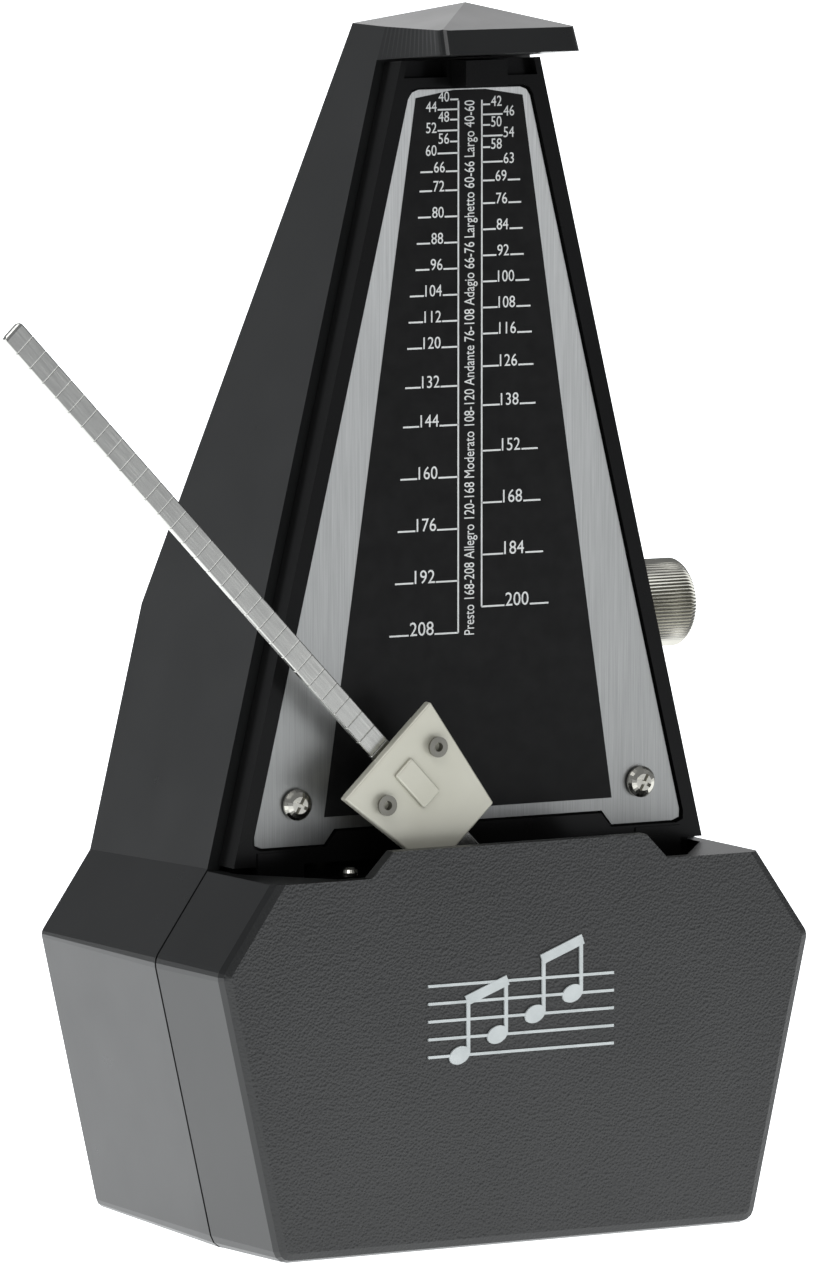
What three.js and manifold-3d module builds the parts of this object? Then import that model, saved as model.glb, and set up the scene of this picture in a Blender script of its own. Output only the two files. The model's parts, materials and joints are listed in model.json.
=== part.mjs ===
// Wind-up metronome in a tapered plastic case, as separate named pieces.
// Millimetres, +Z up. X is to the right and the front faces -Y.
import * as THREE from 'three';
import { ConvexGeometry } from 'three/addons/geometries/ConvexGeometry.js';
import { mergeVertices } from 'three/addons/utils/BufferGeometryUtils.js';
import Module from 'manifold-3d';

const wasm = await Module();
wasm.setup();

// ---- Driving dimensions. Depths (y) are from the front face, heights (z) from the case's bottom edge. ----
const GAP = 0.3;
const WALL = 1.8;
const CASE_DEPTH = 50.3;
const SEAM_Y = 17.5;
const PAD_PROUD = 0.8;
// Half widths and heights of the hexagonal base at the seam.
const BASE_TOP = { w: 36.4, z: 49.5 };
const BASE_MID = { w: 44.3, z: 38.2 };
const BASE_LOW = { w: 35.7, z: 0 };
const BASE_CORNER = 2.4;
const BASE_DRAFT = 0.93;
const COVER_DRAFT = 0.37;
const COVER_ROUND = 1.3;
const COVER_TOP_Z = 49.2;
const COVER_LIP = { y0: 15, y1: 19, thick: 1.1 };
const COVER_CREST = { z: 52.5, topWidth: 18.8, footWidth: 22 };
// Tower above the base.
const TOWER_SLOPE = 0.2423;
const TOWER_DRAFT = 0.02;
const BACK_KINK_Z = 80.4;
const BACK_LEAN = 0.317;
const ROOF = { eaveZ: 157.1, apexZ: 160, apexY: 14.5, frontY: 3.1, backY: 25.9, halfWidth: 9.95 };
const FASCIA = { lowZ: 154.05, lowY: 1.9, halfWidth: 10.13, seamZ: 152.7, round: 1.2 };
// Frame and scale plate.
const FRAME = { y0: 13, y1: 17.2, lowZ: 49.9, frontTopZ: 152.75, backTopZ: 152.4, lowWidth: 35.0, slope: 0.2402, lip: 2.6 };
const FRAME_TONGUE = { y1: 19.5, lowZ: 53, highZ: 150.3 };
const FRAME_POCKET = { inner: 3.5, outer: 9.9, lowZ: 150.5, depth: 1.6 };
const PLATE = { y0: 13.45, y1: 14.0, lowZ: 52.2, archZ: 54.1, highZ: 148.95, slope: 0.2412, lowWidth: 32.1 };
const PLATE_ARCH = { inner: 20.0, outer: 21.5 };
// Below the frame a skirt closes the slot between two feet, and a small screw sits on its left ledge.
const SKIRT = { halfWidth: 34, lowZ: 46, y: 15 };
const FOOT = { inner: 24.8, outer: 31.6, proud: 0.2 };
const SLOT_SCREW = { x: -18.7, y: 11.7, z: 47.8 };
const SCALE_SCREW = { x: 25.66, z: 57.6, head: 2.04, shank: 0.9, hole: 1.25 };
// Pendulum.
const PIVOT = { y: 7.5, z: 47.2 };
const SWING_DEG = 43.5;
const ROD = { halfWidth: 1.6, halfThick: 0.5, top: 101.5, bottom: -35 };
const BOB = { at: -26, radius: 10.5, halfThick: 4.6 };
const WEIGHT = { low: 8.0, high: 24.4, lowWidth: 6.1, highWidth: 8.7, rivetAt: 19.7, rivetX: 5.17 };
// Movement: all its arbors lie along X in one column at this depth.
const TRAIN_Y = 30;
const MODULE = 0.6;
const TEETH = { great: 46, pinion: 8, middle: 44, ratchet: 16, crown: 15 };
const ESCAPE_Z = PIVOT.z;
const MIDDLE_Z = ESCAPE_Z + (TEETH.middle + TEETH.pinion) * MODULE / 2;
const WINDING_Z = MIDDLE_Z + (TEETH.great + TEETH.pinion) * MODULE / 2;
const SIDE_PLATE = { inner: 16, thick: 1.2 };
const KNOB = { radius: 5.83, inner: 31.9, outer: 41.4 };
const CROWN = { radius: 7, tipX: -2.9 };
const PILLARS = [[24, 96.5], [38, 96.5], [22, 38.5], [40, 38.5]];
const LEGS_Y = [23, 39];

// ---- Solid helpers ----
function solid(geometry) {
  const bare = geometry.index ? geometry : geometry.clone();
  bare.deleteAttribute('normal');
  bare.deleteAttribute('uv');
  const merged = mergeVertices(bare, 1e-4);
  return new wasm.Manifold(new wasm.Mesh({
    numProp: 3,
    vertProperties: new Float32Array(merged.attributes.position.array),
    triVerts: new Uint32Array(merged.index.array),
  }));
}

function toGeometry(manifold) {
  const mesh = manifold.getMesh();
  const geometry = new THREE.BufferGeometry();
  geometry.setAttribute('position', new THREE.BufferAttribute(mesh.vertProperties, 3));
  geometry.setIndex(new THREE.BufferAttribute(mesh.triVerts, 1));
  geometry.computeVertexNormals();
  return geometry;
}

function union(...geometries) {
  return toGeometry(geometries.map(solid).reduce((sum, next) => sum.add(next)));
}

function cut(base, ...tools) {
  return toGeometry(tools.map(solid).reduce((rest, tool) => rest.subtract(tool), solid(base)));
}

function common(one, other) {
  return toGeometry(solid(one).intersect(solid(other)));
}

function box(x0, x1, y0, y1, z0, z1) {
  const geometry = new THREE.BoxGeometry(x1 - x0, y1 - y0, z1 - z0);
  return geometry.translate((x0 + x1) / 2, (y0 + y1) / 2, (z0 + z1) / 2);
}

function hull(points) {
  return new ConvexGeometry(points.map((p) => new THREE.Vector3(...p)));
}

// Both sides of a list of right-hand points.
function bothSides(points) {
  return points.flatMap(([x, y, z]) => [[x, y, z], [-x, y, z]]);
}

// A cylinder along X, Y or Z from a to b; the centre gives its other two coordinates in X, Y, Z order.
function cylinder(axis, radius, a, b, centre = [0, 0], sides = 24) {
  const geometry = new THREE.CylinderGeometry(radius, radius, b - a, sides);
  const middle = (a + b) / 2;
  if (axis === 'x') return geometry.rotateZ(-Math.PI / 2).translate(middle, centre[0], centre[1]);
  if (axis === 'y') return geometry.translate(centre[0], middle, centre[1]);
  return geometry.rotateX(Math.PI / 2).translate(centre[0], centre[1], middle);
}

// An outline of [x, z] points, extruded in depth from y0 to y1.
function slabY(outline, y0, y1) {
  const shape = new THREE.Shape(outline.map(([x, z]) => new THREE.Vector2(x, z)));
  const geometry = new THREE.ExtrudeGeometry(shape, { depth: y1 - y0, bevelEnabled: false });
  return geometry.rotateX(Math.PI / 2).translate(0, y1, 0);
}

// An outline of [y, z] points, extruded along X from x0 to x1.
function slabX(outline, x0, x1) {
  const shape = new THREE.Shape(outline.map(([y, z]) => new THREE.Vector2(y, z)));
  const geometry = new THREE.ExtrudeGeometry(shape, { depth: x1 - x0, bevelEnabled: false });
  return geometry.rotateX(Math.PI / 2).rotateZ(Math.PI / 2).translate(x0, 0, 0);
}

// A turned ring or disc along X, from a closed [radius, x] profile that may start and end on the axis.
function turnedX(profile, centre, sides = 32) {
  const points = profile.map(([r, x]) => new THREE.Vector2(r, x));
  const geometry = new THREE.LatheGeometry(points, sides);
  return geometry.rotateZ(-Math.PI / 2).translate(0, centre[0], centre[1]);
}

function lerp(a, b, t) {
  return a + (b - a) * t;
}

// ---- Materials ----
function material(color, roughness, metalness = 0) {
  return new THREE.MeshStandardMaterial({ color, roughness, metalness });
}
const caseBlack = material(0x2b2d2f, 0.45);
const frameBlack = material(0x1d1e20, 0.3);
const plateAluminium = material(0xa6a9aa, 0.4, 0.9);
const nickel = material(0xbab7aa, 0.3, 1);
const weightEnamel = material(0xcdccbe, 0.35, 0.4);
const steel = material(0x8d9194, 0.35, 1);
const brass = material(0xb99a52, 0.35, 1);
const rubber = material(0x18181a, 0.9);
const basePlastic = material(0x232426, 0.6);
const blueSteel = material(0x3b4a66, 0.3, 1);

const metronome = new THREE.Group();
const assembly = new THREE.Group();
assembly.position.set(0, -CASE_DEPTH / 2, PAD_PROUD);
metronome.add(assembly);

function piece(name, geometry, look, parent = assembly) {
  const mesh = new THREE.Mesh(geometry, look);
  mesh.name = name;
  parent.add(mesh);
  return mesh;
}

// ---- Case ----
// Where two straight edges meet; each is [normal w, normal z, offset].
function meeting([a, b, c], [d, e, f]) {
  const det = a * e - b * d;
  return [(c * e - b * f) / det, (a * f - c * d) / det];
}

function edgeThrough(from, to) {
  const length = Math.hypot(to.w - from.w, to.z - from.z);
  const normal = [(from.z - to.z) / length, (to.w - from.w) / length];
  return [...normal, normal[0] * from.w + normal[1] * from.z];
}

// An arc of four points in place of a corner, touching the lines to the points before and after it.
function softened(before, corner, after, radius) {
  const towards = (point) => {
    const length = Math.hypot(point[0] - corner[0], point[1] - corner[1]);
    return [(point[0] - corner[0]) / length, (point[1] - corner[1]) / length];
  };
  const [a, b] = [towards(before), towards(after)];
  const half = Math.acos(a[0] * b[0] + a[1] * b[1]) / 2;
  const middle = [(a[0] + b[0]) / (2 * Math.cos(half)), (a[1] + b[1]) / (2 * Math.cos(half))];
  const centre = corner.map((value, i) => value + middle[i] * radius / Math.sin(half));
  const facing = Math.atan2(-middle[1], -middle[0]);
  return [1, 1 / 3, -1 / 3, -1].map((share) => {
    const angle = facing + share * (Math.PI / 2 - half);
    return [centre[0] + radius * Math.cos(angle), centre[1] + radius * Math.sin(angle)];
  });
}

// The base hexagon at one depth, with its edges moved inwards by the inset and its top by the top inset.
function baseSection(y, inset, topInset = inset) {
  const edges = [
    [0, 1, BASE_TOP.z + inset - topInset], edgeThrough(BASE_TOP, BASE_MID), edgeThrough(BASE_MID, BASE_LOW), [0, -1, 0],
  ].map(([w, z, offset]) => [w, z, offset - inset]);
  const [top, middle, low] = [0, 1, 2].map((i) => meeting(edges[i], edges[i + 1]));
  const radius = Math.max(0.4, BASE_CORNER - inset);
  const outline = [top, ...softened(top, middle, low, radius), ...softened(middle, low, [0, low[1]], radius)];
  return bothSides(outline.map(([w, z]) => [w, y, z]));
}

function towerWidth(y, z) {
  return BASE_TOP.w - TOWER_SLOPE * (z - BASE_TOP.z) - TOWER_DRAFT * (y - SEAM_Y);
}

function backY(z) {
  return CASE_DEPTH - BACK_LEAN * Math.max(0, z - BACK_KINK_Z);
}

function towerSolid(inset, y0, z0, z1) {
  const corners = [];
  for (const z of [z0, BACK_KINK_Z, z1]) {
    const y1 = backY(z) - inset;
    corners.push([towerWidth(SEAM_Y, z) - inset, y0, z], [towerWidth(y1, z) - inset, y1, z]);
  }
  return hull(bothSides(corners));
}

// The roof block's outline: upright at the front with rounded corners, leaning with the tower from the seam back.
function roofSides() {
  const depth = SEAM_Y - ROOF.frontY;
  const lean = (ROOF.frontY - FASCIA.lowY) / (ROOF.eaveZ - FASCIA.lowZ);
  const flare = (FASCIA.halfWidth - ROOF.halfWidth) / (ROOF.eaveZ - FASCIA.lowZ);
  const section = (distance) => {
    const corner = Math.max(0, FASCIA.round - distance);
    const rounding = FASCIA.round - Math.sqrt(FASCIA.round ** 2 - corner ** 2);
    return bothSides([ROOF.apexZ + 1, FASCIA.seamZ - 1].map((z) => {
      const frontY = ROOF.frontY - lean * (ROOF.eaveZ - z);
      const frontWidth = ROOF.halfWidth + flare * (ROOF.eaveZ - z);
      const width = lerp(frontWidth, towerWidth(SEAM_Y, z), distance / depth);
      return [width - rounding, lerp(frontY, SEAM_Y, distance / depth), z];
    }));
  };
  const rounded = [0, 0.1, 0.35, 0.75, 1.2];
  const flat = Array.from({ length: 14 }, (_, i) => lerp(FASCIA.round, depth, (i + 1) / 14));
  const steps = [...rounded, ...flat].map(section);
  const slices = steps.slice(1).map((next, i) => hull([...steps[i], ...next]));
  return union(...slices, towerSolid(0, SEAM_Y, FASCIA.seamZ - 1, ROOF.apexZ + 1));
}

// A low pyramid over a sloping underside, wider than the block it is cut from.
function roofSolid() {
  const reach = 1.4;
  const wide = ROOF.halfWidth * reach;
  const frontY = lerp(ROOF.apexY, ROOF.frontY, reach);
  const backEndY = lerp(ROOF.apexY, ROOF.backY, reach);
  const eaveZ = lerp(ROOF.apexZ, ROOF.eaveZ, reach);
  const rise = (FASCIA.lowZ - FASCIA.seamZ) / (SEAM_Y - FASCIA.lowY);
  const cap = hull([
    [0, ROOF.apexY, ROOF.apexZ],
    ...bothSides([
      [wide, frontY, eaveZ], [wide, backEndY, eaveZ], [wide, frontY, FASCIA.seamZ + rise * (SEAM_Y - frontY)],
      [wide, SEAM_Y, FASCIA.seamZ], [wide, backEndY, FASCIA.seamZ],
    ]),
  ]);
  return common(cap, roofSides());
}

function rearShell() {
  const base = hull([...baseSection(SEAM_Y, 0), ...baseSection(CASE_DEPTH, BASE_DRAFT)]);
  const outside = union(base, towerSolid(0, SEAM_Y, BASE_TOP.z - 1, FASCIA.seamZ + 0.5), roofSolid());
  const open = SEAM_Y - 1;
  const back = CASE_DEPTH - WALL;
  const baseRoom = hull([...baseSection(open, WALL), ...baseSection(back, WALL + BASE_DRAFT)]);
  const towerRoom = towerSolid(WALL, open, BASE_TOP.z - 6, FASCIA.seamZ - WALL);
  const floorOpening = box(-31, 31, 19, 47, -1, 3);
  const arborHole = cylinder('x', 3.5, 20, 40, [TRAIN_Y, WINDING_Z]);
  return cut(outside, baseRoom, towerRoom, floorOpening, arborHole);
}

function frontCover() {
  const back = SEAM_Y - GAP;
  const rounding = [0, 1, 2].map((step) => {
    const angle = step * Math.PI / 4;
    const inset = COVER_DRAFT + COVER_ROUND * (1 - Math.sin(angle));
    return baseSection(COVER_ROUND * (1 - Math.cos(angle)), inset, 0);
  });
  const shell = hull([...rounding.flat(), ...baseSection(back, 0.05, 0)]);
  const trimmed = cut(shell, box(-60, 60, -1, 20, COVER_TOP_Z, 60));
  const crest = slabY([
    [-COVER_CREST.footWidth, COVER_TOP_Z - 4], [COVER_CREST.footWidth, COVER_TOP_Z - 4],
    [COVER_CREST.footWidth, COVER_TOP_Z], [COVER_CREST.topWidth, COVER_CREST.z],
    [-COVER_CREST.topWidth, COVER_CREST.z], [-COVER_CREST.footWidth, COVER_TOP_Z],
  ], 0, WALL);
  const room = hull([...baseSection(WALL, WALL + COVER_DRAFT), ...baseSection(SEAM_Y + 1, WALL)]);
  const slot = new THREE.Shape([[-26, WALL], [26, WALL], [34.6, 12.8], [34.6, 19], [-34.6, 19], [-34.6, 12.8]]
    .map(([x, y]) => new THREE.Vector2(x, y)));
  const slotCut = new THREE.ExtrudeGeometry(slot, { depth: 12, bevelEnabled: false }).translate(0, 0, 44);
  return cut(union(cut(union(trimmed, crest), room), coverLip()), slotCut);
}

// A ring behind the cover's edge that reaches into the rear shell and closes the seam.
function coverLip() {
  const { y0, y1, thick } = COVER_LIP;
  const clear = WALL + GAP + 0.1;
  const ring = (from, to, outer) => cut(
    hull([...baseSection(from, outer), ...baseSection(to, outer)]),
    hull([...baseSection(from - 1, clear + thick), ...baseSection(to + 1, clear + thick)]),
  );
  return union(ring(y0, SEAM_Y - GAP - 0.3, WALL - 0.3), ring(y0 + 1, y1, clear));
}

piece('rear_shell', rearShell(), caseBlack);
piece('front_cover', frontCover(), caseBlack);

// ---- Frame and scale ----
function frameWidth(z) {
  return FRAME.lowWidth - FRAME.slope * (z - FRAME.lowZ);
}

function plateWidth(z) {
  return PLATE.lowWidth - PLATE.slope * (z - PLATE.lowZ);
}

// The plate's outline grown by a margin: two feet, an arch between them and rounded corners.
function plateOutline(margin) {
  const top = PLATE.highZ + margin;
  const low = PLATE.lowZ - margin;
  const arch = PLATE.archZ - margin;
  const right = [
    [PLATE_ARCH.inner - margin, arch], [PLATE_ARCH.outer - margin, low],
    [plateWidth(low) + margin - 1.4, low], [plateWidth(low + 0.4) + margin - 0.3, low + 0.4],
    [plateWidth(low + 1.5) + margin, low + 1.5],
    [plateWidth(top - 1.2) + margin, top - 1.2], [plateWidth(top - 0.35) + margin - 0.35, top - 0.35],
    [plateWidth(top) + margin - 1.2, top],
  ];
  const left = right.map(([x, z]) => [-x, z]).reverse();
  return [...right, ...left];
}

function scaleFrame() {
  const low = frameWidth(FRAME.lowZ);
  const outside = hull(bothSides([
    [low, FRAME.y0, FRAME.lowZ], [low, FRAME.y1, FRAME.lowZ],
    [frameWidth(FRAME.frontTopZ), FRAME.y0, FRAME.frontTopZ], [frameWidth(FRAME.backTopZ), FRAME.y1, FRAME.backTopZ],
  ]));
  const tongueWidth = (z) => towerWidth(FRAME_TONGUE.y1, z) - WALL - GAP;
  const tongue = hull(bothSides([FRAME.y0 + 2, FRAME_TONGUE.y1].flatMap((y) => [
    [tongueWidth(FRAME_TONGUE.lowZ), y, FRAME_TONGUE.lowZ], [tongueWidth(FRAME_TONGUE.highZ), y, FRAME_TONGUE.highZ],
  ])));
  const movementRoom = box(-24, 24, FRAME.y1, FRAME_TONGUE.y1 + 1, FRAME_TONGUE.lowZ - 1, 62);
  const skirt = box(-SKIRT.halfWidth, SKIRT.halfWidth, SKIRT.y, FRAME.y1, SKIRT.lowZ, FRAME.lowZ + 0.5);
  const feet = [-1, 1].map((side) => hull([FRAME.y0 - FOOT.proud, FRAME.y1].flatMap((y) => [
    [side * FOOT.inner, y, SKIRT.lowZ], [side * FOOT.outer, y, SKIRT.lowZ],
    [side * FOOT.inner, y, PLATE.lowZ - 0.6], [side * FOOT.outer, y, PLATE.lowZ - 0.6],
  ])));
  const arborNotch = box(-4, 4, FRAME.y0, FRAME.y1 + 1, SKIRT.lowZ - 1, FRAME.lowZ - 0.6);
  const ledgeY = SLOT_SCREW.y - 1.6;
  const ledge = box(SLOT_SCREW.x - 5, SLOT_SCREW.x + 5, ledgeY, SKIRT.y + 1, SKIRT.lowZ, SLOT_SCREW.z);
  const ledgeEnd = box(SLOT_SCREW.x + 5, SLOT_SCREW.x + 6, ledgeY, SKIRT.y + 1, SKIRT.lowZ, FRAME.lowZ + 0.4);
  const seat = slabY(plateOutline(GAP), FRAME.y0 - 1, PLATE.y1 + GAP);
  const window = slabY([
    [-plateWidth(60) + FRAME.lip, 60.5], [-21, 60.5], [-21, 55.8], [21, 55.8], [21, 60.5],
    [plateWidth(60) - FRAME.lip, 60.5],
    [plateWidth(140) - FRAME.lip, 140], [-plateWidth(140) + FRAME.lip, 140],
  ], FRAME.y0, FRAME_TONGUE.y1 + 1);
  const pockets = [-1, 1].map((side) => hull([FRAME.y0 - 1, FRAME.y0 + FRAME_POCKET.depth].flatMap((y) => [
    [side * FRAME_POCKET.inner, y, FRAME_POCKET.lowZ], [side * FRAME_POCKET.inner, y, 154],
    [side * FRAME_POCKET.outer, y, FRAME_POCKET.lowZ], [side * (FRAME_POCKET.outer - 0.8), y, 154],
  ])));
  const holes = [-1, 1].map((side) => cylinder('y', SCALE_SCREW.hole, 12, 19, [side * SCALE_SCREW.x, SCALE_SCREW.z], 16));
  return cut(union(cut(union(outside, cut(tongue, movementRoom), skirt), arborNotch), ledge, ledgeEnd, ...feet), seat, window, ...pockets, ...holes);
}

function scalePlate() {
  const holes = [-1, 1].map((side) => cylinder('y', SCALE_SCREW.hole, 12, 16, [side * SCALE_SCREW.x, SCALE_SCREW.z], 16));
  return cut(slabY(plateOutline(0), PLATE.y0, PLATE.y1), ...holes);
}

// A pan-head screw along Y with a cross recess, its shank pointing back.
function panScrew(x, z) {
  const seat = PLATE.y0 - GAP;
  const profile = [
    [0, 0], [1.1, 0], [1.7, 0.25], [SCALE_SCREW.head, 0.65], [SCALE_SCREW.head, 1.0],
    [SCALE_SCREW.shank, 1.0], [SCALE_SCREW.shank, 4.6], [0, 4.6],
  ].map(([r, y]) => new THREE.Vector2(r, y));
  const body = new THREE.LatheGeometry(profile, 24);
  const slots = [box(-1.15, 1.15, -1, 0.5, -0.22, 0.22), box(-0.22, 0.22, -1, 0.5, -1.15, 1.15)];
  return cut(body, ...slots.map((slot) => slot.rotateY(0.5))).translate(x, seat - 1.0, z);
}

function domeScrew({ x, y, z }) {
  const profile = [[0, 0], [1.25, 0], [1.25, 0.5], [1.05, 0.9], [0.6, 1.2], [0, 1.3]];
  const body = new THREE.LatheGeometry(profile.map(([r, height]) => new THREE.Vector2(r, height)), 24);
  return body.rotateX(Math.PI / 2).translate(x, y, z + GAP);
}

piece('scale_frame', scaleFrame(), frameBlack);
piece('scale_plate', scalePlate(), plateAluminium);
piece('scale_screw_left', panScrew(-SCALE_SCREW.x, SCALE_SCREW.z), nickel);
piece('scale_screw_right', panScrew(SCALE_SCREW.x, SCALE_SCREW.z), nickel);
piece('rod_clip', box(-3.07, 3.07, 8.9, FRAME.y0 - GAP, 149.3, 152.8), frameBlack);
piece('slot_screw', domeScrew(SLOT_SCREW), nickel);

// ---- Base ----
function basePlate() {
  const bosses = [-1, 1].flatMap((side) => LEGS_Y.map((y) => cylinder('z', 2.6, 2, 5.2, [side * 19.8, y], 16)));
  const holes = [-1, 1].flatMap((side) => LEGS_Y.map((y) => cylinder('z', 1.2, 1.4, 6, [side * 19.8, y], 12)));
  return cut(union(box(-30.6, 30.6, 19.4, 46.6, 0.4, 2.2), ...bosses), ...holes);
}
piece('base_plate', basePlate(), basePlastic);
piece('rubber_pad', box(-26, 26, CASE_DEPTH / 2 - 17, CASE_DEPTH / 2 + 17, -PAD_PROUD, -GAP), rubber);

// ---- Movement frame ----
const plateFace = SIDE_PLATE.inner;
const plateBack = SIDE_PLATE.inner + SIDE_PLATE.thick;

function sidePlate(side) {
  const outline = [
    [18.6, 35.5], [20, 35.5], [20, 5.5], [26, 5.5], [26, 35.5], [36, 35.5], [36, 5.5], [42, 5.5],
    [42, 35.5], [44, 35.5], [44, 80], [41, 99], [20, 99], [18.6, 90],
  ];
  const web = slabX(outline, plateFace, plateBack);
  const flanges = LEGS_Y.map((y) => box(plateFace, 23, y - 3, y + 3, 5.5, 6.7));
  const screwHoles = LEGS_Y.map((y) => cylinder('z', 1.2, 4, 8, [19.8, y], 12));
  const arborHoles = [WINDING_Z, MIDDLE_Z, ESCAPE_Z]
    .map((z, i) => cylinder('x', i === 0 ? 1.8 : 1.0, 10, 20, [TRAIN_Y, z], 16));
  const plate = cut(union(web, ...flanges), ...screwHoles, ...arborHoles);
  return side > 0 ? plate : toGeometry(solid(plate).mirror([1, 0, 0]));
}

piece('movement_plate_left', sidePlate(-1), brass);
piece('movement_plate_right', sidePlate(1), brass);
PILLARS.forEach(([y, z], i) => {
  piece(`movement_pillar_${i + 1}`, cylinder('x', 1.6, -plateFace + GAP, plateFace - GAP, [y, z], 16), steel);
});
[-1, 1].forEach((side) => LEGS_Y.forEach((y, i) => {
  const screw = union(cylinder('z', 2.0, 7.0, 8.2, [side * 19.8, y], 16), cylinder('z', 0.9, 2.0, 7.5, [side * 19.8, y], 12));
  piece(`movement_screw_${side < 0 ? 'left' : 'right'}_${i + 1}`, screw, steel);
}));

// Cocks that carry the pendulum arbor, and the potence that carries the escape arbor's inner end.
function cock(y0) {
  const inner = plateFace - GAP;
  return cut(box(-inner, inner, y0, y0 + 1.2, 41.5, 52.5), cylinder('y', 1.2, y0 - 1, y0 + 3, [0, PIVOT.z], 16));
}
piece('front_cock', cock(19.4), brass);
piece('rear_cock', cock(42), brass);
piece('escape_potence', cut(box(-11, -10, 20.9, 41.7, 43.4, 51), cylinder('x', 1.0, -12, -9, [TRAIN_Y, ESCAPE_Z], 16)), brass);

// ---- Gears ----
// A spur gear along X with straight-flanked teeth that leave a little backlash.
function gear(teeth, x0, x1, z, bore, turn = 0) {
  const pitch = teeth * MODULE / 2;
  const outer = pitch + MODULE * 0.75;
  const root = pitch - MODULE * 1.05;
  const step = 2 * Math.PI / teeth;
  const profile = [[-0.27, root], [-0.11, outer], [0.11, outer], [0.27, root]];
  const outline = [];
  for (let tooth = 0; tooth < teeth; tooth += 1) {
    for (const [offset, r] of profile) {
      const angle = (tooth + turn + offset) * step;
      outline.push([TRAIN_Y + r * Math.cos(angle), z + r * Math.sin(angle)]);
    }
  }
  return cut(slabX(outline, x0, x1), cylinder('x', bore, x0 - 1, x1 + 1, [TRAIN_Y, z], 16));
}

// Five windows in a wheel, each a wedge between the hub and the rim.
function crossings(radiusIn, radiusOut, x0, x1, z) {
  return [0, 1, 2, 3, 4].map((spoke) => {
    const from = (spoke + 0.14) * 2 * Math.PI / 5;
    const to = (spoke + 0.86) * 2 * Math.PI / 5;
    const arc = (r, t) => [TRAIN_Y + r * Math.cos(lerp(from, to, t)), z + r * Math.sin(lerp(from, to, t))];
    const outline = [0, 0.33, 0.67, 1].map((t) => arc(radiusOut, t));
    outline.push(arc(radiusIn, 1), arc(radiusIn, 0));
    return slabX(outline, x0 - 1, x1 + 1);
  });
}

// A wheel's tooth or a pinion's gap points straight down or up at the place where they mesh.
function meshTurn(teeth, direction, toothThere) {
  const at = direction * teeth / 4;
  return toothThere ? at : at + 0.5;
}

const greatGear = gear(TEETH.great, 6, 7.5, WINDING_Z, 1.8, meshTurn(TEETH.great, -1, true));
const greatWheel = cut(greatGear, ...crossings(5, 10.6, 6, 7.5, WINDING_Z));
const middleGear = gear(TEETH.middle, -14, -12.8, MIDDLE_Z, 1.1, meshTurn(TEETH.middle, -1, true));
const middleWheel = cut(middleGear, ...crossings(4, 10.6, -14, -12.8, MIDDLE_Z));
piece('great_wheel', greatWheel, brass);
piece('intermediate_wheel', middleWheel, brass);
piece('intermediate_pinion', gear(TEETH.pinion, 4, 9, MIDDLE_Z, 1.1, meshTurn(TEETH.pinion, 1, false)), steel);
piece('intermediate_arbor', cylinder('x', 0.8, -plateBack, plateBack, [TRAIN_Y, MIDDLE_Z], 12), steel);
piece('escape_pinion', gear(TEETH.pinion, -15, -11.6, ESCAPE_Z, 1.1, meshTurn(TEETH.pinion, 1, false)), steel);
piece('escape_arbor', cylinder('x', 0.8, -plateBack, -4.6, [TRAIN_Y, ESCAPE_Z], 12), steel);

// The crown wheel: a cup on the escape arbor with pointed teeth that face the pendulum arbor.
function crownWheel() {
  const { radius, tipX } = CROWN;
  const rim = turnedX([[1.1, -8.4], [radius, -8.4], [radius, tipX], [radius - 0.7, tipX],
    [radius - 0.7, -7.4], [1.1, -7.4], [1.1, -8.4]], [TRAIN_Y, ESCAPE_Z], 45);
  const gaps = Array.from({ length: TEETH.crown }, (_, tooth) => {
    const slant = new THREE.Shape([new THREE.Vector2(-5.6, -0.75), new THREE.Vector2(-2, -1.75), new THREE.Vector2(-2, 1.05),
      new THREE.Vector2(-5.6, 0.75)]);
    const wedge = new THREE.ExtrudeGeometry(slant, { depth: 3, bevelEnabled: false }).translate(0, 0, radius - 2);
    wedge.rotateX(tooth * 2 * Math.PI / TEETH.crown);
    return wedge.translate(0, TRAIN_Y, ESCAPE_Z);
  });
  return cut(rim, ...gaps);
}
piece('escape_wheel', crownWheel(), brass);

// ---- Winding work ----
piece('winding_arbor', cylinder('x', 1.5, -plateBack, KNOB.inner + 5, [TRAIN_Y, WINDING_Z], 20), steel);
piece('knob_bush', turnedX([[1.8, 26.6], [3.2, 26.6], [3.2, 30.4], [4.6, 30.4], [4.6, 31.5], [1.8, 31.5], [1.8, 26.6]],
  [TRAIN_Y, WINDING_Z], 32), nickel);
piece('winding_knob', turnedX([
  [0, KNOB.outer], [0, KNOB.inner + 5.3], [1.8, KNOB.inner + 5.3], [1.8, KNOB.inner], [KNOB.radius - 0.4, KNOB.inner],
  [KNOB.radius, KNOB.inner + 0.4], [KNOB.radius, KNOB.outer - 0.5], [KNOB.radius - 0.5, KNOB.outer], [0, KNOB.outer],
], [TRAIN_Y, WINDING_Z], 48), nickel);

// Saw teeth: each rises slowly and drops along a radius.
function ratchetWheel() {
  const outline = [];
  for (let tooth = 0; tooth < TEETH.ratchet; tooth += 1) {
    const angle = tooth * 2 * Math.PI / TEETH.ratchet;
    outline.push([TRAIN_Y + 3.9 * Math.cos(angle), WINDING_Z + 3.9 * Math.sin(angle)]);
    outline.push([TRAIN_Y + 5.0 * Math.cos(angle), WINDING_Z + 5.0 * Math.sin(angle)]);
  }
  return cut(slabX(outline, 3.6, 5.2), cylinder('x', 1.8, 3, 6, [TRAIN_Y, WINDING_Z], 16));
}
piece('ratchet_wheel', ratchetWheel(), steel);

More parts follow.
